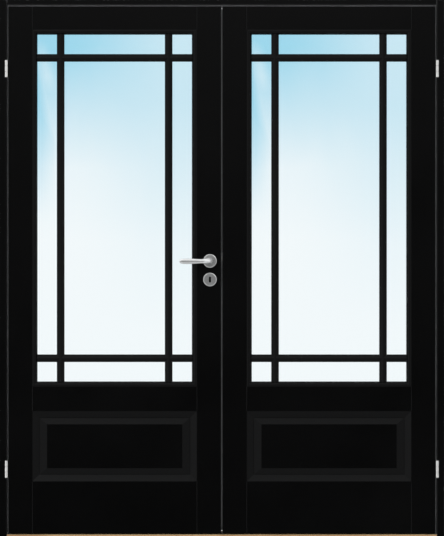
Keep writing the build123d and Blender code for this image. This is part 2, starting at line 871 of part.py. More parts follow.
def cover_strip():
    """The strip on the back of the right leaf that covers the meeting gap and stops the left leaf."""
    edge = -leaf_in - strip_cover
    x0, x1 = edge + seal_rim, edge + strip_w
    section = [
        (leaf_in, leaf_back), (x1, leaf_back), (x1, stop_front + strip_t - frame_round),
        (x1 - frame_round, stop_front + strip_t), (x0 + frame_round, stop_front + strip_t),
        (x0, stop_front + strip_t - frame_round), (x0, stop_front), (leaf_in, stop_front),
    ]
    piece = length_along_z(section, threshold_top + strip_end_gap, head_face - stop_w - strip_end_gap)
    groove = seal_stem(leaf_in - seal_w / 2, joint_gap)
    return piece - length_along_z(groove, threshold_top, head_face)


def cover_seal():
    """The seal on the cover strip, behind the left leaf."""
    section = seal_section(leaf_in, -1)
    return length_along_z(section, threshold_top + strip_end_gap, head_face - stop_w - strip_end_gap)


def flush_mid(end):
    """The height of a flush bolt's middle, above (end 1) or below (end -1)."""
    reach = flush_end + flush_plate_h / 2
    return leaf_top - reach if end > 0 else leaf_bottom + reach


def flush_trough(end, size):
    z, half_h, half_w = flush_mid(end), flush_trough_h / 2 + size, flush_trough_w / 2 + size
    x0 = leaf_in + flush_plate_t - size
    x1 = leaf_in + flush_plate_t + flush_trough_depth + size
    return block(x0, x1, leaf_mid - half_w, leaf_mid + half_w, z - half_h, z + half_h)


def flush_bore(end):
    """The long bore from the trough to the leaf's end."""
    z, r = flush_mid(end), flush_rod_r + flush_bore_gap
    return rod((flush_rod_x, leaf_mid, z), (0, 0, end), r, leaf_h)


def flush_recess(end):
    """What a flush bolt needs cut out of the stile."""
    x1 = leaf_in + flush_plate_t + joint_gap
    plate = rounded_plate(0, x1, flush_plate_w, flush_plate_h, flush_mid(end), joint_gap)
    return plate + flush_trough(end, joint_gap) + flush_bore(end)


def flush_screws():
    reach = flush_plate_h / 2 - flush_plate_w / 2
    heights = [flush_mid(end) + reach * side for end in (1, -1) for side in (1, -1)]
    return [((leaf_in, leaf_mid, z), (-1, 0, 0), flush_screw_l) for z in heights]


def flush_housing(end):
    """A flush bolt's face plate with the trough behind it and the slot for its slide."""
    z = flush_mid(end)
    piece = rounded_plate(leaf_in, leaf_in + flush_plate_t, flush_plate_w, flush_plate_h, z, 0)
    trough = flush_trough(end, 0)
    w = flush_trough_wall
    x1 = leaf_in + flush_plate_t + flush_trough_depth
    half_h, half_w = flush_trough_h / 2, flush_trough_w / 2
    trough -= block(0, x1 - w, leaf_mid - half_w + w, leaf_mid + half_w - w, z - half_h + w, z + half_h - w)
    low, high = slot_reach(end)
    half = flush_slot_w / 2
    piece -= block(0, x1 - w, leaf_mid - half, leaf_mid + half, low, high)
    piece += trough
    return drilled(piece - flush_bore(end), flush_screws())


def slot_reach(end):
    """The slot's lowest and highest points: the slide's length, its travel and a little room."""
    room = flush_knob_h / 2 + slot_clear
    return sorted((flush_mid(end) - end * room, flush_mid(end) + end * (room + flush_throw)))


def flush_bolt(end):
    """A flush bolt's rod with its finger slide, shown drawn back."""
    z, face, half_w = flush_mid(end), leaf_in + flush_knob_in, flush_knob_w / 2
    reach = flush_end + flush_plate_h / 2 - flush_tip_in
    start = (flush_rod_x, leaf_mid, z - end * flush_knob_h)
    piece = rod(start, (0, 0, end), flush_rod_r, reach + flush_knob_h)
    y0, y1 = leaf_mid - half_w, leaf_mid + half_w
    knob = block(face, flush_rod_x, y0, y1, z - flush_knob_h / 2, z + flush_knob_h / 2)
    for i in range(flush_grips):
        low = z - flush_knob_h / 2 + flush_knob_h * (i + 1) / (flush_grips + 1) - flush_grip_w / 2
        knob -= block(0, face + flush_grip_depth, y0 - over, y1 + over, low, low + flush_grip_w)
    return piece + knob


def keep_blank(z0, z1, size):
    half_l, half_w = keep_l / 2 + size, keep_w / 2 + size
    return block(flush_rod_x - half_l, flush_rod_x + half_l, leaf_mid - half_w, leaf_mid + half_w, z0, z1)


def bolt_hole(z0, z1):
    return rod((flush_rod_x, leaf_mid, z0), (0, 0, 1), keep_hole_r, z1 - z0)


def keep_screws(z, out):
    reach = keep_l / 2 - keep_screw_in
    return [((flush_rod_x + reach * side, leaf_mid, z), out, keep_screw_l) for side in (1, -1)]


def keep(z0, z1, face, out):
    """The plate that a flush bolt shoots into."""
    return drilled(keep_blank(z0, z1, 0) - bolt_hole(z0 - over, z1 + over), keep_screws(face, out))


# The whole object

def screw_group(places):
    return [screw(head, out, length) for head, out, length in places]


def both_hands(name, pieces, found):
    """Stores a piece of the left leaf and its mirror on the right leaf."""
    pieces = pieces if isinstance(pieces, list) else [pieces]
    found["left_" + name] = pieces
    found["right_" + name] = [to_right(p) for p in pieces]


def frame_nodes():
    left, stop = jamb(), side_stop()
    plates = [frame_hinge(z) for z in hinge_zs.values()]
    pins = [hinge_pin(z) for z in hinge_zs.values()]
    in_jamb = screw_group(frame_hinge_screws() + corner_screws())
    in_keeps = screw_group(keep_screws(head_face, (0, 0, -1)) + keep_screws(threshold_h, (0, 0, 1)))
    return {
        "frame_jamb_left": left,
        "frame_jamb_right": to_right(left),
        "frame_head": head(),
        "threshold": threshold(),
        "left_stop": stop,
        "right_stop": to_right(stop),
        "head_stop": head_stop(),
        "threshold_stop": threshold_stop(),
        "frame_seals": frame_seals(),
        "head_keep": keep(head_face, head_face + keep_t, head_face, (0, 0, -1)),
        "threshold_keep": keep(threshold_h - keep_t, threshold_h, threshold_h, (0, 0, 1)),
        "hinge_frame_plates": plates + [to_right(p) for p in plates],
        "hinge_pins": pins + [to_right(p) for p in pins],
        "frame_screws": in_jamb + [to_right(s) for s in in_jamb] + in_keeps,
    }


def leaf_nodes():
    """Everything that both leaves have."""
    found = {}
    both_hands("hinge_stile", hinge_stile(), found)
    for name, (z0, z1) in rail_ends().items():
        both_hands(f"{name}_rail", rail(z0, z1), found)
    both_hands("raised_panel", raised_panel(), found)
    both_hands("glass", glass(), found)
    mouldings = panel_mouldings()
    both_hands("panel_mouldings", mouldings + [to_back(m) for m in mouldings], found)
    beads, bars = glazing_beads(), glazing_bars()
    both_hands("glazing_beads_front", beads, found)
    both_hands("glazing_beads_back", [to_back(b) for b in beads], found)
    both_hands("glazing_bars_front", bars, found)
    both_hands("glazing_bars_back", [to_back(b) for b in bars], found)
    both_hands("hinge_leaf_plates", [leaf_hinge(z) for z in hinge_zs.values()], found)
    return found


def lock_nodes():
    """What only the left leaf has."""
    front_lever, front_rose, front_key = lever(), handle_rose(), key_rose()
    return {
        "left_meeting_stile": active_meeting_stile(),
        "left_leaf_screws": screw_group(leaf_hinge_screws() + forend_screws()),
        "lever_front": front_lever,
        "lever_back": to_back(front_lever),
        "handle_rose_front": front_rose,
        "handle_rose_back": to_back(front_rose),
        "key_rose_front": front_key,
        "key_rose_back": to_back(front_key),
        "spindle": spindle(),
        "lock_case": lock_case(),
        "lock_face_plate": forend(),
        "lock_follower": lock_follower(),
        "latch_bolt": latch_bolt(),
        "dead_bolt": dead_bolt(),
    }


def passive_nodes():
    """What only the right leaf has."""
    hinge_screws = [to_right(s) for s in screw_group(leaf_hinge_screws())]
    return {
        "right_meeting_stile": passive_meeting_stile(),
        "right_leaf_screws": hinge_screws + screw_group(strike_screws() + flush_screws()),
        "strike_plate": strike_plate(),
        "cover_strip": cover_strip(),
        "cover_seal": cover_seal(),
        "flush_bolt_housings": [flush_housing(1), flush_housing(-1)],
        "flush_bolt_top": flush_bolt(1),
        "flush_bolt_bottom": flush_bolt(-1),
    }


def save(name, shapes):
    """Writes one node, its solids side by side."""
    shapes = shapes if isinstance(shapes, list) else [shapes]
    solids = [solid for shape in shapes for solid in shape.solids()]
    whole = solids[0] if len(solids) == 1 else Compound(children=solids)
    export_step(whole, f"parts/{name}.step")


def main():
    os.makedirs("parts", exist_ok=True)
    for nodes in (frame_nodes(), leaf_nodes(), lock_nodes(), passive_nodes()):
        for name, shapes in nodes.items():
            save(name, shapes)


main()
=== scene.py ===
import math

import bmesh
import bpy
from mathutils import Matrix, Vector


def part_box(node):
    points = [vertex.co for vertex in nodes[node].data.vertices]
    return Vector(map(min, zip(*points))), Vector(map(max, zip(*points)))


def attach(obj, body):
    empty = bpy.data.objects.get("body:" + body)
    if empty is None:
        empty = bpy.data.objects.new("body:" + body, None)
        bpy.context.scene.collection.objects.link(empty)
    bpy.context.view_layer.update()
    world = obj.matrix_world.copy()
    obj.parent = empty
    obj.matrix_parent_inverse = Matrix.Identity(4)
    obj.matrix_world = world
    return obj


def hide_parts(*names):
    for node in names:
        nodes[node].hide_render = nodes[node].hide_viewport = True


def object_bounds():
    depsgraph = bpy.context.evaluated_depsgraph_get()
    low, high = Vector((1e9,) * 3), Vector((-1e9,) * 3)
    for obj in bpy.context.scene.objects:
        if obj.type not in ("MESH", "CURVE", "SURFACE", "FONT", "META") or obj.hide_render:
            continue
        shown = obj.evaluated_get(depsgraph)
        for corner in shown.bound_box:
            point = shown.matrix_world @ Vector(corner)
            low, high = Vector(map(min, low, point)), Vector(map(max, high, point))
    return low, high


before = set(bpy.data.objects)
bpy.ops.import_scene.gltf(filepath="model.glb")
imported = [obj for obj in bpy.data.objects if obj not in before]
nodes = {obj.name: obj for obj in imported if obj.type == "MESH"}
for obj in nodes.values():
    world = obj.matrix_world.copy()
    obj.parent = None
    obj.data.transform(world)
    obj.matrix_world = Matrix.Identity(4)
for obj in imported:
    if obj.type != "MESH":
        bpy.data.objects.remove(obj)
cad_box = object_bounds()

# The photograph's frame: its height in pixels, the size of one pixel on the doors' front face, and the
# place on the doors that lies at its middle. The camera stands far off, so that it looks straight in.
photo_rows = 536
pixel_size = 0.003866
view_x = 0.0006
view_z = 1.0517
camera_distance = 40.0
camera_reach = 100.0
sensor_size = 36.0

# Floor
floor_radius = 8.0
floor_sides = 96
floor_drop = 0.0005

# The room is bright all round, more so towards the upper left, the front and the back, but it is dim
# straight in front and straight behind. Each dim patch fades out between two sizes of a direction's Y.
room_light = 0.72
room_ahead = 0.31
room_slope = 0.17
room_tint = (0.97, 0.985, 1.0, 1.0)
dim_light = 0.028
dim_edge = 0.975
dim_end = 0.840
background_white = (0.934, 0.985, 0.997, 1.0)

# Lights from the upper left, from in front, from the upper right and from behind: place, size and power
light_aim = (0.0, 0.0, 1.05)
lights = {
    "key": ((-2.6, -3.4, 5.2), (2.4, 2.4), 32.0),
    "front": ((0.0, -6.0, 2.6), (3.0, 0.9), 10.0),
    "side": ((3.4, -3.6, 4.4), (1.8, 1.8), 40.0),
    "back": ((2.8, 4.2, 3.6), (2.4, 2.4), 60.0),
}

# Colours, as linear red, green and blue
paint_black = (0.0006, 0.0006, 0.00065)
# The paint's dusty tone, also used as the painted shade on the hinge plates' edges
paint_dusty_and_shade = (0.0014, 0.0014, 0.00135)
# Painted highlight: the light grey on the arrises along the gaps
gap_highlight_grey = (0.56, 0.56, 0.57)
# Painted highlight: the light hairline where the rails meet the stiles
seam_highlight_grey = (0.043, 0.043, 0.044)
oak_light = (0.587, 0.398, 0.207)
oak_dark = (0.407, 0.251, 0.118)
oak_pore = (0.10, 0.055, 0.028)
seal_grey = (0.80, 0.81, 0.82)
seal_bloom = (0.86, 0.87, 0.88)
nickel = (0.90, 0.89, 0.87)
nickel_cloudy = (0.66, 0.65, 0.62)
steel = (0.62, 0.62, 0.615)
steel_bright = (0.80, 0.80, 0.795)
steel_matt = (0.92, 0.92, 0.915)
zinc = (0.52, 0.53, 0.54)
# Painted shade: the near-black lock levers seen through the keyhole
lever_shade_black = (0.012, 0.012, 0.0125)
zinc_screw = (0.66, 0.67, 0.68)
zinc_yellowing = (1.08, 0.96, 0.68)
# Painted reflection: the blue of a sky reflected in the glass
sky_reflection_blue = (0.37, 0.71, 0.865)
glass_clear = (0.99, 0.995, 1.0)
floor_pale = (0.80, 0.80, 0.79)
floor_worn = (0.76, 0.76, 0.755)

# How glossy the paint, the oak and the seals are, and how strongly paint and glass bend light
paint_gloss = 0.125
oak_gloss = 0.4
seal_gloss = 0.3
paint_index = 1.5
glass_index = 1.45

# Waves per metre of each texture, as one number, or as two: across an axis and along it
paint_grain = (260.0, 7.0)
paint_pores = (1100.0, 45.0)
paint_peel = 420.0
paint_cloud = 2.4
oak_figure = (34.0, 2.2)
oak_fibre = (620.0, 14.0)
oak_pores = (1500.0, 55.0)
oak_board = (4.8, 0.8)
seal_clouds = 60.0
seal_grain = 1500.0
nickel_turning = (60.0, 2600.0)
nickel_clouds = 90.0
steel_brushing = (1900.0, 24.0)
steel_clouds = 45.0
rings_out = 2600.0
rings_deep = 700.0
rings_round = 2.0
rings_clouds = 55.0
zinc_spangles = 240.0
zinc_clouds = 40.0
floor_clouds = 1.5
floor_grain = 90.0

# Noise lies mostly between these two numbers
noise_spread = (0.3, 0.7)

# Radii that soften the hard edges, with the samples taken for them
paint_soft = 0.0009
beads_soft = 0.0006
oak_soft = 0.0008
metal_soft = 0.0003
soft_samples = 4

# The fine groove along each mitre
mitre_width = 0.0006
mitre_depth = 0.0002

# A painted highlight, light grey, lies on the arrises along the gaps above, beside and between the leaves.
# The cosine between a surface and its softened self tells how far a place is from the flat and onto the
# arris. Near each gap there is a reach where the painted highlight is at its strongest, and a wider one
# where that has ended.
arris_r = 0.0016
arris_flat = 0.99
arris_round = 0.86
gap_top = 2.0672
gap_side = 0.8290
gap_full = 0.0036
gap_reach = 0.0045
highlight_at_top = 1.0
highlight_at_side = 0.55
highlight_at_middle = 0.30

# The light hairline where the rails meet the stiles, a painted highlight: how far to each side it is at
# its lightest, and where it has ended
seam_full = 0.0004
seam_reach = 0.0008

# The hinge plates' edges between the barrels and the leaves are dark and not metal, as painted shade
barrel_side = 0.8274
plate_edge = -0.0400

# The lever's neck is blasted matt: its half width, where the brushed arm starts, and its roughness
neck_half = 0.013
arm_start = 0.030
neck_rough = 0.62

# The blue in the glass is a painted reflection of a sky. The beads cover the sheet's edge, and places run
# from 0 to 1 across and up what shows. First how deep the painted reflection is at each height on the left
# and on the right, then the wisps in it.
glass_cover = 0.016
sky_left = ((0.40, 0.01), (0.62, 0.13), (0.96, 0.98))
sky_right = ((0.15, 0.02), (0.40, 0.12), (0.80, 0.55))
sky_sides = (0.15, 0.95)
wisp_waves = (5.0, 1.0, 1.6)
wisp_twist = 0.6
wisp_spread = (0.25, 0.75)
wisp_lift = 0.02

# A painted reflection: a light streak leans across the upper left of the glass, with a deeper band at its
# lower left
streak_lean = 0.5
streak_place = 0.505
streak_half = 0.07
streak_light = 0.24
streak_starts = (0.83, 0.88)
streak_ends = (0.94, 0.985)
band_depth = 0.34
band_to_streak = (-0.095, -0.04)
band_to_side = (0.03, 0.13)
band_rises = (0.44, 0.66)

# Crosshead screws: the points round them, and how near to an end a point counts as on it. The recess's
# outline is a hub with four arms, in head radii. Each ring of the recess is a share of that outline, and
# each ring of the rim a share of the head, with a depth in head radii. The thread's cut and the tip are
# shares of the shank.
screw_sides = 24
screw_near = 0.0001
cross_hub = 0.16
cross_arm = 0.30
cross_sharpness = 5
cross_rings = ((0.35, 0.34), (0.85, 0.26), (1.0, 0.0))
rim_rings = ((0.97, 0.0), (1.0, 0.03))
thread_pitch = 0.0018
thread_rows = 4
thread_cut = 0.28
screw_tip = 0.5

# The slim plates inside the lock, round at their lower ends, which hang lower from one to the next and
# start again after a few
lever_count = 5
lever_step = 0.0022
lever_t = 0.0014
lever_half = 0.008
lever_below = 0.020
lever_above = 0.036
lever_stagger = 0.0008
lever_cycle = 3
lever_sides = 12

# Points that lie this near are one point
same_point = 1e-6

# The Mix node has sockets for each kind of value: its two inputs and its output
mix_numbers = (2, 3, 0)
mix_colours = (6, 7, 2)


# Node helpers

class Tree:
    """The node tree of a world or a material, with short calls for building it."""

    def __init__(self, owner):
        owner.use_nodes = True
        self.nodes = owner.node_tree.nodes
        self.links = owner.node_tree.links

    def add(self, kind, settings=None, inputs=None):
        """A node of a kind, with its settings and what its inputs hold or are fed by."""
        node = self.nodes.new("ShaderNode" + kind)
        for key, value in (settings or {}).items():
            setattr(node, key, value)
        for key, value in (inputs or {}).items():
            self.feed(node.inputs[key], value)
        return node

    def feed(self, socket, value):
        """Links a socket to another, or sets its value, with a colour's alpha added."""
        if isinstance(value, bpy.types.NodeSocket):
            self.links.new(value, socket)
        elif isinstance(value, tuple) and len(value) == 3 and len(socket.default_value) == 4:
            socket.default_value = (*value, 1.0)
        else:
            socket.default_value = value

    def math(self, operation, a, b=0.0, clamp=False):
        node = self.add("Math", {"operation": operation, "use_clamp": clamp}, {0: a, 1: b})
        return node.outputs[0]

    def distance(self, value, place):
        """How far a value is from a place."""
        return self.math("ABSOLUTE", self.math("SUBTRACT", value, place))

    def mix(self, factor, a, b):
        """A colour between a and b."""
        first, second, result = mix_colours
        node = self.add("Mix", {"data_type": "RGBA"}, {"Factor": factor, first: a, second: b})
        return node.outputs[result]

    def blend(self, factor, a, b):
        """A number between a and b."""
        first, second, result = mix_numbers
        return self.add("Mix", None, {"Factor": factor, first: a, second: b}).outputs[result]

    def span(self, value, low, high, to_low=0.0, to_high=1.0, smooth=False):
        """value taken from one range to another, held at the ends."""
        kind = "SMOOTHSTEP" if smooth else "LINEAR"
        inputs = {"Value": value, "From Min": low, "From Max": high, "To Min": to_low, "To Max": to_high}
        return self.add("MapRange", {"interpolation_type": kind}, inputs).outputs["Result"]

    def ramp(self, value, points):
        """A number that runs straight from point to point, each of them a value and its number."""
        total = points[0][1]
        for (low, start), (high, end) in zip(points, points[1:]):
            total = self.math("ADD", total, self.span(value, low, high, 0.0, end - start))
        return total

    def split(self, vector):
        return self.add("SeparateXYZ", None, {0: vector}).outputs

    def either(self, factor, a, b):
        """A shader that is a or b."""
        return self.add("MixShader", None, {0: factor, 1: a, 2: b}).outputs[0]


class Surface(Tree):
    """A new material, laid out in the doors' own coordinates."""

    def __init__(self, name):
        self.material = bpy.data.materials.new(name)
        super().__init__(self.material)
        self.shader = self.nodes["Principled BSDF"]
        self.place = self.add("TexCoord").outputs["Object"]
        self.x, self.y, self.z = self.split(self.place)

    def noise(self, waves, detail=2.0, roughness=0.5, vector=None, distortion=0.0):
        inputs = {"Vector": vector or self.place, "Scale": waves, "Detail": detail, "Roughness": roughness,
                  "Distortion": distortion}
        return self.add("TexNoise", None, inputs).outputs["Fac"]

    def stretched(self, waves, **settings):
        """Noise with its own waves per metre along X, Y and Z."""
        place = self.add("Mapping", None, {"Vector": self.place, "Scale": waves}).outputs["Vector"]
        return self.noise(1.0, vector=place, **settings)

    def grained(self, axis, waves, **settings):
        """Noise drawn out along one axis."""
        across, along = waves
        return self.stretched(tuple(along if name == axis else across for name in "XYZ"), **settings)

    def vary(self, noise, low, high, spread=noise_spread):
        """A number that goes from low to high as a noise does."""
        return self.span(noise, *spread, low, high)

    def veil(self, colour, veil, noise, amount, spread=noise_spread):
        """A colour veiled by up to an amount of another where a noise is high."""
        return self.mix(self.vary(noise, 0.0, amount, spread), colour, veil)

    def bump(self, height, depth, strength, normal=None):
        inputs = {"Height": height, "Distance": depth, "Strength": strength}
        if normal:
            inputs["Normal"] = normal
        return self.add("Bump", None, inputs).outputs["Normal"]

    def eased(self, radius):
        """The normal with hard edges rounded by a radius."""
        return self.add("Bevel", {"samples": soft_samples}, {"Radius": radius}).outputs["Normal"]

    def arris(self):
        """One on a rounded edge, nought on the flats beside it."""
        flat = self.add("NewGeometry").outputs["True Normal"]
        turn = self.add("VectorMath", {"operation": "DOT_PRODUCT"}, {0: flat, 1: self.eased(arris_r)})
        return self.span(turn.outputs["Value"], arris_flat, arris_round)

    def painted_gap_highlight(self):
        """How strong the painted highlight is near the gaps round and between the leaves."""
        side = self.math("ABSOLUTE", self.x)
        highlight_share = 0.0
        for place, at, amount in ((self.z, gap_top, highlight_at_top), (side, gap_side, highlight_at_side),
                                  (side, 0.0, highlight_at_middle)):
            near = self.span(self.distance(place, at), gap_full, gap_reach, amount, 0.0)
            highlight_share = self.math("MAXIMUM", highlight_share, near)
        return highlight_share

    def set(self, **values):
        """Sets the main shader's own sockets, with spaces written as underscores."""
        for key, value in values.items():
            self.feed(self.shader.inputs[key.replace("_", " ")], value)
        return self.material


# Materials

def painted(t, colour, rough, normal):
    """The paint's gloss, given to a surface with what varies over it."""
    return t.set(Base_Color=colour, Roughness=rough, Normal=normal, Specular_IOR_Level=paint_gloss,
                 IOR=paint_index)


def black_paint(name, axis, seams=()):
    """Sprayed satin black paint on wood, with the grain just showing through along one axis, with painted
    highlights on the arrises along the gaps, and with a light hairline, a painted highlight, at each
    distance from the middle where it joins another piece."""
    t = Surface(name)
    grain = t.grained(axis, paint_grain, detail=5.0, roughness=0.62)
    pores = t.grained(axis, paint_pores)
    peel = t.noise(paint_peel)
    cloud = t.noise(paint_cloud, detail=3.0, roughness=0.55)
    colour = t.veil(paint_black, paint_dusty_and_shade, cloud, amount=0.35, spread=(0.35, 0.75))
    colour = t.veil(colour, paint_dusty_and_shade, grain, amount=0.4, spread=(0.45, 0.7))
    # Painted highlight: light grey on the arrises along the gaps round and between the leaves
    colour = t.mix(t.math("MULTIPLY", t.arris(), t.painted_gap_highlight()), colour, gap_highlight_grey)
    # Painted highlight: a light hairline where each rail meets a stile
    for at in seams:
        away = t.distance(t.math("ABSOLUTE", t.x), at)
        colour = t.mix(t.span(away, seam_full, seam_reach, 1.0, 0.0), colour, seam_highlight_grey)
    rough = t.math("ADD", t.vary(cloud, 0.30, 0.36), t.vary(pores, -0.03, 0.03))
    normal = t.bump(grain, depth=0.00012, strength=0.35, normal=t.eased(paint_soft))
    normal = t.bump(pores, depth=0.00004, strength=0.30, normal=normal)
    normal = t.bump(peel, depth=0.00003, strength=0.35, normal=normal)
    return painted(t, colour, rough, normal)


def mitred_paint(name, low, high):
    """Black paint on mouldings mitred round an opening, the grain along each length."""
    t = Surface(name)
    in_x = t.math("SUBTRACT", (high.x - low.x) / 2, t.distance(t.x, (low.x + high.x) / 2))
    in_z = t.math("SUBTRACT", (high.z - low.z) / 2, t.distance(t.z, (low.z + high.z) / 2))
    upright = t.math("LESS_THAN", in_x, in_z)
    joint = t.span(t.distance(in_x, in_z), 0.0, mitre_width, 1.0, 0.0)
    level_grain = t.grained("X", paint_grain, detail=5.0, roughness=0.62)
    upright_grain = t.grained("Z", paint_grain, detail=5.0, roughness=0.62)
    grain = t.blend(upright, level_grain, upright_grain)
    peel = t.noise(paint_peel)
    cloud = t.noise(paint_cloud, detail=3.0, roughness=0.55)
    colour = t.veil(paint_black, paint_dusty_and_shade, grain, amount=0.4, spread=(0.45, 0.7))
    normal = t.bump(grain, depth=0.0001, strength=0.35, normal=t.eased(beads_soft))
    normal = t.bump(peel, depth=0.00003, strength=0.35, normal=normal)
    normal = t.bump(joint, depth=mitre_depth, strength=-0.8, normal=normal)
    return painted(t, colour, t.vary(cloud, 0.30, 0.36), normal)


def oiled_oak(name):
    """Oak along X: broad figure, fine fibres and short dark pores under oil, each board its own tone."""
    t = Surface(name)
    figure = t.grained("X", oak_figure, detail=4.0, roughness=0.6, distortion=1.4)
    fibre = t.grained("X", oak_fibre, detail=6.0, roughness=0.65)
    pore = t.grained("X", oak_pores)
    board = t.grained("X", oak_board, detail=1.0)
    pore_spread = (0.60, 0.70)
    colour = t.mix(t.span(figure, 0.35, 0.68, smooth=True), oak_light, oak_dark)
    colour = t.veil(colour, oak_dark, fibre, amount=0.45, spread=(0.35, 0.7))
    colour = t.veil(colour, oak_light, board, amount=0.25, spread=(0.35, 0.65))
    colour = t.veil(colour, oak_pore, pore, amount=0.75, spread=pore_spread)
    normal = t.bump(fibre, depth=0.0001, strength=0.4, normal=t.eased(oak_soft))
    normal = t.bump(t.vary(pore, 1.0, 0.0, pore_spread), depth=0.0001, strength=0.5, normal=normal)
    return t.set(Base_Color=colour, Roughness=t.vary(fibre, 0.38, 0.52), Normal=normal,
                 Specular_IOR_Level=oak_gloss)


def seal_rubber(name):
    """Matt grey seal with a faint bloom."""
    t = Surface(name)
    bloom = t.noise(seal_clouds, detail=3.0, roughness=0.6)
    normal = t.bump(t.noise(seal_grain), depth=0.00003, strength=0.4)
    colour = t.veil(seal_grey, seal_bloom, bloom, amount=0.6, spread=(0.35, 0.7))
    return t.set(Base_Color=colour, Roughness=t.vary(bloom, 0.62, 0.78), Normal=normal,
                 Specular_IOR_Level=seal_gloss)


def bright_nickel(name):
    """Bright plated hinges, turned marks round the barrels and a few cloudy patches, with painted shade,
    dark and not metal, on the plates' edges between the barrels and the leaves."""
    t = Surface(name)
    turned = t.grained("Z", nickel_turning)
    cloud = t.noise(nickel_clouds, detail=3.0, roughness=0.6)
    # Painted shade: the plates' edges between the barrels and the leaves are dark and not metal
    plate_edge_shade = t.math("MULTIPLY", t.math("LESS_THAN", t.math("ABSOLUTE", t.x), barrel_side),
                     t.math("LESS_THAN", t.y, plate_edge))
    colour = t.veil(nickel, nickel_cloudy, cloud, amount=0.35, spread=(0.4, 0.75))
    colour = t.mix(plate_edge_shade, colour, paint_dusty_and_shade)
    rough = t.math("ADD", t.vary(turned, 0.38, 0.46), t.vary(cloud, 0.0, 0.06))
    normal = t.bump(turned, depth=0.00001, strength=0.5, normal=t.eased(metal_soft))
    return t.set(Base_Color=colour, Metallic=t.math("SUBTRACT", 1.0, plate_edge_shade), Roughness=rough,
                 Normal=normal, Specular_IOR_Level=paint_gloss)


def darker(colour, share):
    return tuple(share * part for part in colour)


def brushed_steel(name, axis, tone, low=0.24, high=0.38, matt_x=None):
    """Steel brushed along one axis to a roughness between two, and matt near a place along X if one is
    given."""
    t = Surface(name)
    brush = t.grained(axis, steel_brushing, detail=4.0, roughness=0.6)
    cloud = t.noise(steel_clouds, detail=3.0, roughness=0.6)
    colour = t.veil(tone, darker(tone, 0.80), brush, amount=0.5, spread=(0.35, 0.7))
    rough = t.math("ADD", t.vary(brush, low, high), t.vary(cloud, -0.02, 0.04))
    if matt_x is not None:
        matt = t.span(t.distance(t.x, matt_x), neck_half, arm_start, 1.0, 0.0, smooth=True)
        rough = t.blend(matt, rough, neck_rough)
        colour = t.mix(matt, colour, steel_matt)
    normal = t.bump(brush, depth=0.00002, strength=0.5, normal=t.eased(metal_soft))
    return t.set(Base_Color=colour, Metallic=1.0, Roughness=rough, Normal=normal)


def turned_steel(name, centre):
    """Steel brushed in rings round an axis along Y through a point."""
    t = Surface(name)
    dx, dz = t.math("SUBTRACT", t.x, centre.x), t.math("SUBTRACT", t.z, centre.z)
    radius = t.math("SQRT", t.math("ADD", t.math("MULTIPLY", dx, dx), t.math("MULTIPLY", dz, dz)))
    turn = t.math("ARCTAN2", dz, dx)
    ringed = t.add("CombineXYZ", None, {0: t.math("MULTIPLY", radius, rings_out),
                                        1: t.math("MULTIPLY", turn, rings_round),
                                        2: t.math("MULTIPLY", t.y, rings_deep)}).outputs[0]
    rings = t.noise(1.0, detail=3.0, roughness=0.6, vector=ringed)
    cloud = t.noise(rings_clouds, detail=3.0, roughness=0.6)
    colour = t.veil(steel, darker(steel, 0.78), rings, amount=0.5, spread=(0.35, 0.7))
    rough = t.math("ADD", t.vary(rings, 0.275, 0.40), t.vary(cloud, -0.02, 0.04))
    normal = t.bump(rings, depth=0.00002, strength=0.6, normal=t.eased(metal_soft))
    return t.set(Base_Color=colour, Metallic=1.0, Roughness=rough, Normal=normal)


def zinc_plate(name, tone):
    """Zinc plated steel: dull, with a spangled cloud and a yellow tinge here and there."""
    t = Surface(name)
    cells = t.add("TexVoronoi", {"feature": "F1"}, {"Vector": t.place, "Scale": zinc_spangles})
    spangle = t.add("SeparateColor", None, {0: cells.outputs["Color"]}).outputs[0]
    cloud = t.noise(zinc_clouds, detail=3.0, roughness=0.6)
    yellow = tuple(part * shift for part, shift in zip(tone, zinc_yellowing))
    colour = t.veil(tone, darker(tone, 0.75), spangle, amount=0.3, spread=(0.0, 1.0))
    colour = t.veil(colour, yellow, cloud, amount=0.4, spread=(0.5, 0.75))
    rough = t.vary(spangle, 0.34, 0.48, spread=(0.0, 1.0))
    return t.set(Base_Color=colour, Metallic=1.0, Roughness=rough, Normal=t.eased(metal_soft))


def painted_sky_reflection(t, low, high):
    """How deep the painted reflection of a blue sky is over a sheet of glass: deeper towards the top, most
    of all at the left, with faint wisps, and with a light streak, a painted highlight, and a deeper band at
    the upper left."""
    across = t.span(t.x, low.x + glass_cover, high.x - glass_cover)
    up = t.span(t.z, low.z + glass_cover, high.z - glass_cover)
    wisp = t.stretched(wisp_waves, detail=3.0, distortion=wisp_twist)
    height = t.math("ADD", up, t.vary(wisp, -wisp_lift, wisp_lift, wisp_spread))
    broad = t.blend(t.span(across, *sky_sides, smooth=True), t.ramp(height, sky_left),
                    t.ramp(height, sky_right))
    slant = t.math("SUBTRACT", t.math("ADD", across, t.math("MULTIPLY", up, streak_lean)), streak_place)
    band = t.math("MINIMUM", t.span(slant, *band_to_streak, band_depth, 0.0),
                  t.span(across, *band_to_side, band_depth, 0.0))
    band = t.math("MULTIPLY", band, t.span(up, *band_rises, smooth=True))
    streak = t.span(t.math("ABSOLUTE", slant), 0.0, streak_half, streak_light, 0.0, smooth=True)
    streak = t.math("MULTIPLY", streak, t.span(up, *streak_starts))
    streak = t.math("MULTIPLY", streak, t.span(up, *streak_ends, 1.0, 0.0))
    return t.math("ADD", broad, t.math("SUBTRACT", band, streak), clamp=True)


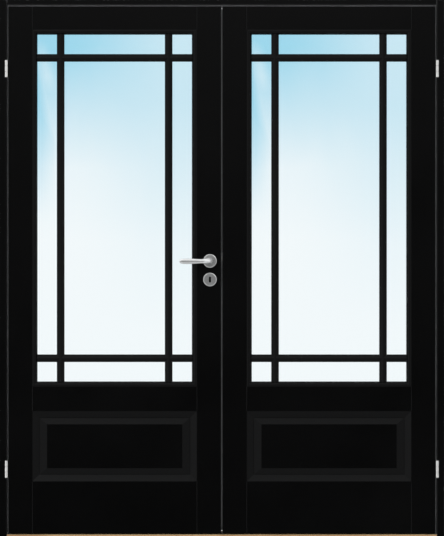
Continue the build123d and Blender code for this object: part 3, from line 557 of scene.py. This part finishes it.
def sky_painted_glass(name, low, high):
    """Clear glass, coloured with a painted reflection of a pale blue sky. Shadow rays and diffuse rays pass
    straight through it, so that what lies behind stays lit."""
    t = Surface(name)
    # Painted reflection: the glass's colour is a blue sky reflection with a light streak
    reflected_sky = t.mix(painted_sky_reflection(t, low, high), glass_clear, sky_reflection_blue)
    t.set(Base_Color=reflected_sky, Transmission_Weight=1.0, Roughness=0.0, IOR=glass_index)
    clear = t.add("BsdfTransparent", None, {"Color": reflected_sky}).outputs[0]
    path = t.add("LightPath").outputs
    passing = t.math("MAXIMUM", path["Is Shadow Ray"], path["Is Diffuse Ray"])
    both = t.either(passing, t.shader.outputs[0], clear)
    t.feed(t.nodes["Material Output"].inputs["Surface"], both)
    return t.material


def pale_floor(name):
    """A plain pale floor with faint worn patches."""
    t = Surface(name)
    cloud = t.noise(floor_clouds, detail=4.0, roughness=0.6)
    grain = t.noise(floor_grain, detail=3.0, roughness=0.6)
    colour = t.veil(floor_pale, floor_worn, cloud, amount=0.4)
    normal = t.bump(grain, depth=0.0004, strength=0.15)
    return t.set(Base_Color=colour, Roughness=t.vary(cloud, 0.55, 0.7), Normal=normal)


# Which node has which finish

def dress(material, *names):
    for name in names:
        data = nodes[name].data
        data.materials.clear()
        data.materials.append(material)


def finish_wood():
    upright, level = black_paint("paint_upright", "Z"), black_paint("paint_level", "X")
    joints = -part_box("left_hinge_stile")[1].x, -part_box("left_meeting_stile")[0].x
    rails = black_paint("paint_rails", "X", joints)
    dress(upright, "frame_jamb_left", "frame_jamb_right", "left_stop", "right_stop", "cover_strip")
    dress(level, "frame_head", "head_stop")
    for side in ("left", "right"):
        dress(upright, f"{side}_hinge_stile", f"{side}_meeting_stile")
        dress(rails, f"{side}_bottom_rail", f"{side}_lock_rail", f"{side}_top_rail")
        dress(level, f"{side}_raised_panel")
        dress(upright, f"{side}_glazing_bars_front", f"{side}_glazing_bars_back")
        beads = mitred_paint(f"paint_beads_{side}", *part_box(f"{side}_glazing_beads_front"))
        dress(beads, f"{side}_glazing_beads_front", f"{side}_glazing_beads_back")
        mouldings = mitred_paint(f"paint_mouldings_{side}", *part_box(f"{side}_panel_mouldings"))
        dress(mouldings, f"{side}_panel_mouldings")
    dress(oiled_oak("oak_oiled"), "threshold", "threshold_stop")


def middle(name):
    low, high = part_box(name)
    return (low + high) / 2


def finish_metal():
    hinges = bright_nickel("nickel_bright")
    dress(hinges, "hinge_pins", "hinge_frame_plates", "left_hinge_leaf_plates", "right_hinge_leaf_plates")
    lever = brushed_steel("steel_lever", "X", steel_bright, low=0.30, high=0.42, matt_x=middle("spindle").x)
    dress(lever, "lever_front", "lever_back")
    for name in ("handle_rose_front", "key_rose_front"):
        dress(turned_steel(f"steel_{name}", middle(name)), name, name.replace("front", "back"))
    plates = brushed_steel("steel_plates", "Z", steel)
    dress(plates, "lock_face_plate", "strike_plate", "flush_bolt_housings")
    dress(brushed_steel("steel_keeps", "X", steel), "head_keep", "threshold_keep")
    works = zinc_plate("zinc_works", zinc)
    dress(works, "lock_case", "lock_follower", "spindle", "latch_bolt", "dead_bolt", "flush_bolt_top",
          "flush_bolt_bottom")


def finish_soft():
    dress(seal_rubber("rubber_seal"), "frame_seals", "cover_seal")
    for side in ("left", "right"):
        dress(sky_painted_glass(f"glass_{side}", *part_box(f"{side}_glass")), f"{side}_glass")


# Added pieces

def new_piece(name, build, material, body):
    """An object from a finished bmesh, riding on a body."""
    mesh = bpy.data.meshes.new(name)
    bmesh.ops.recalc_face_normals(build, faces=build.faces)
    build.to_mesh(mesh)
    build.free()
    mesh.materials.append(material)
    piece = bpy.data.objects.new(name, mesh)
    bpy.context.scene.collection.objects.link(piece)
    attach(piece, body)
    return piece


def wall(build, first, second):
    """Faces between two closed rows of as many points."""
    for i in range(len(first)):
        j = (i + 1) % len(first)
        build.faces.new((first[i], first[j], second[j], second[i]))


def islands(mesh):
    """The points of each separate solid in a node's mesh."""
    build = bmesh.new()
    build.from_mesh(mesh)
    bmesh.ops.remove_doubles(build, verts=build.verts, dist=same_point)
    left, found = set(build.verts), []
    while left:
        stack, group = [left.pop()], []
        while stack:
            vert = stack.pop()
            group.append(vert.co.copy())
            for edge in vert.link_edges:
                other = edge.other_vert(vert)
                if other in left:
                    left.remove(other)
                    stack.append(other)
        found.append(group)
    build.free()
    return found


def screw_place(points):
    """Where a screw's head is, the way it points into the wood, its length and its two radii."""
    low = Vector([min(p[i] for p in points) for i in range(3)])
    high = Vector([max(p[i] for p in points) for i in range(3)])
    size, centre = high - low, (low + high) / 2
    axis = max(range(3), key=lambda i: size[i])

    def spread(end):
        near = [p for p in points if abs(p[axis] - end) < screw_near]
        return max((Vector([p[i] - centre[i] for i in range(3) if i != axis])).length for p in near)

    ends = sorted((low[axis], high[axis]), key=spread)
    head, into = centre.copy(), Vector((0.0, 0.0, 0.0))
    head[axis] = ends[1]
    into[axis] = 1.0 if ends[0] > ends[1] else -1.0
    return head, into, size[axis], spread(ends[1]), spread(ends[0])


def thread_ring(row, start, shank_r):
    """One ring of the thread: how deep each of its points is cut follows from its turn and its row."""
    depth = start + row * thread_pitch / thread_rows
    ring = []
    for i in range(screw_sides):
        phase = (row / thread_rows + i / screw_sides) % 1.0
        ring.append((shank_r * (1.0 - thread_cut * (1.0 - abs(2.0 * phase - 1.0))), depth))
    return ring


def screw_rings(turns, length, head_r, shank_r):
    """The rings of a crosshead screw, each a list of (radius, depth) round it, from the recess outward."""
    cross = [cross_hub * head_r + cross_arm * head_r * abs(math.cos(2.0 * a)) ** cross_sharpness
             for a in turns]
    rings = [[(share * r, depth * head_r) for r in cross] for share, depth in cross_rings]
    rings += [[(share * head_r, depth * head_r)] * screw_sides for share, depth in rim_rings]
    neck = head_r - shank_r
    rings.append([(shank_r, neck)] * screw_sides)
    start = neck + shank_r
    rows = int((length - start - shank_r) / thread_pitch * thread_rows)
    rings += [thread_ring(row, start, shank_r) for row in range(rows)]
    rings.append([(screw_tip * shank_r, length)] * screw_sides)
    return rings


def add_screw(build, points):
    """One crosshead screw in the place of a plain one."""
    head, into, length, head_r, shank_r = screw_place(points)
    side = into.orthogonal().normalized()
    up = into.cross(side)
    turns = [2.0 * math.pi * i / screw_sides for i in range(screw_sides)]
    loops = []
    for ring in screw_rings(turns, length, head_r, shank_r):
        loops.append([build.verts.new(head + into * depth + (side * math.cos(a) + up * math.sin(a)) * r)
                      for a, (r, depth) in zip(turns, ring)])
    for first, second in zip(loops, loops[1:]):
        wall(build, first, second)
    build.faces.new(loops[0])
    build.faces.new(list(reversed(loops[-1])))


def make_screws():
    """Crosshead screws with threads in the place of the plain ones."""
    material = zinc_plate("zinc_screws", zinc_screw)
    for name, body in (("frame_screws", "frame"), ("left_leaf_screws", "left_leaf"),
                       ("right_leaf_screws", "right_leaf")):
        build = bmesh.new()
        for points in islands(nodes[name].data):
            add_screw(build, points)
        piece = new_piece(f"crosshead_{name}", build, material, body)
        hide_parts(name)


def lever_outline(x, low, top):
    """The corners of a lock lever: a round lower end and a square upper one."""
    outline = []
    for i in range(lever_sides + 1):
        angle = math.pi * (1 + i / lever_sides)
        outline.append((x + lever_half * math.cos(angle), low + lever_half * (1 + math.sin(angle))))
    return outline + [(x + lever_half, top), (x - lever_half, top)]


def make_lock_levers():
    """The slim plates inside the lock, which close the view through the keyhole, near black as painted
    shade.
    """
    build = bmesh.new()
    middle_y = middle("lock_case").y
    key = middle("key_rose_front")
    for i in range(lever_count):
        y = middle_y + (i - (lever_count - 1) / 2) * lever_step
        low = key.z - lever_below - (i % lever_cycle) * lever_stagger
        outline = lever_outline(key.x, low, key.z + lever_above)
        front = [build.verts.new((x, y - lever_t / 2, z)) for x, z in outline]
        back = [build.verts.new((x, y + lever_t / 2, z)) for x, z in outline]
        build.faces.new(front)
        build.faces.new(list(reversed(back)))
        wall(build, front, back)
    # Painted shade: the levers are near black, so that the keyhole shows dark
    new_piece("lock_levers", build, zinc_plate("lock_levers_painted_shade", lever_shade_black), "left_leaf")


# Stage, light and camera

def make_floor():
    mesh = bpy.data.meshes.new("floor")
    build = bmesh.new()
    bmesh.ops.create_circle(build, cap_ends=True, segments=floor_sides, radius=floor_radius)
    build.to_mesh(mesh)
    build.free()
    floor = bpy.data.objects.new("floor", mesh)
    floor.location.z = cad_box[0].z - floor_drop
    floor.visible_glossy = False
    bpy.context.scene.collection.objects.link(floor)
    mesh.materials.append(pale_floor("floor_pale"))


def make_world():
    """A pale room: white where it is seen, and for what the surfaces reflect a bright room with a dim
    patch straight in front and straight behind."""
    world = bpy.data.worlds.new("studio")
    bpy.context.scene.world = world
    t = Tree(world)
    x, y, z = t.split(t.add("TexCoord").outputs["Generated"])
    depth = t.math("ABSOLUTE", y)
    open_side = t.span(depth, dim_edge, dim_end, smooth=True)
    upper_left = t.math("MULTIPLY", t.math("SUBTRACT", z, x), room_slope)
    ahead = t.math("MULTIPLY", depth, room_ahead)
    bright = t.math("ADD", t.math("ADD", upper_left, ahead), room_light)
    level = t.math("ADD", t.math("MULTIPLY", bright, open_side), dim_light)
    lit = t.add("Background", None, {"Color": room_tint, "Strength": level}).outputs[0]
    seen = t.add("Background", None, {"Color": background_white}).outputs[0]
    path = t.add("LightPath").outputs
    direct = t.math("MAXIMUM", path["Is Camera Ray"], path["Is Transmission Ray"])
    t.feed(t.nodes["World Output"].inputs["Surface"], t.either(direct, lit, seen))


def make_lights():
    for name, (place, size, power) in lights.items():
        data = bpy.data.lights.new(name, "AREA")
        data.shape = "RECTANGLE"
        data.size, data.size_y = size
        data.energy = power
        light = bpy.data.objects.new(name, data)
        light.location = place
        light.rotation_euler = (Vector(light_aim) - Vector(place)).to_track_quat("-Z", "Y").to_euler()
        bpy.context.scene.collection.objects.link(light)


def make_camera():
    data = bpy.data.cameras.new("camera")
    data.sensor_width = sensor_size
    data.lens = sensor_size * camera_distance / (photo_rows * pixel_size)
    data.clip_end = camera_reach
    camera = bpy.data.objects.new("camera", data)
    front_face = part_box("left_meeting_stile")[0].y
    camera.location = (view_x, front_face - camera_distance, view_z)
    camera.rotation_euler = (math.radians(90.0), 0.0, 0.0)
    bpy.context.scene.collection.objects.link(camera)
    bpy.context.scene.camera = camera


finish_wood()
finish_metal()
finish_soft()
make_screws()
make_lock_levers()
make_floor()
make_world()
make_lights()
make_camera()
bpy.context.scene.view_settings.view_transform = "Standard"
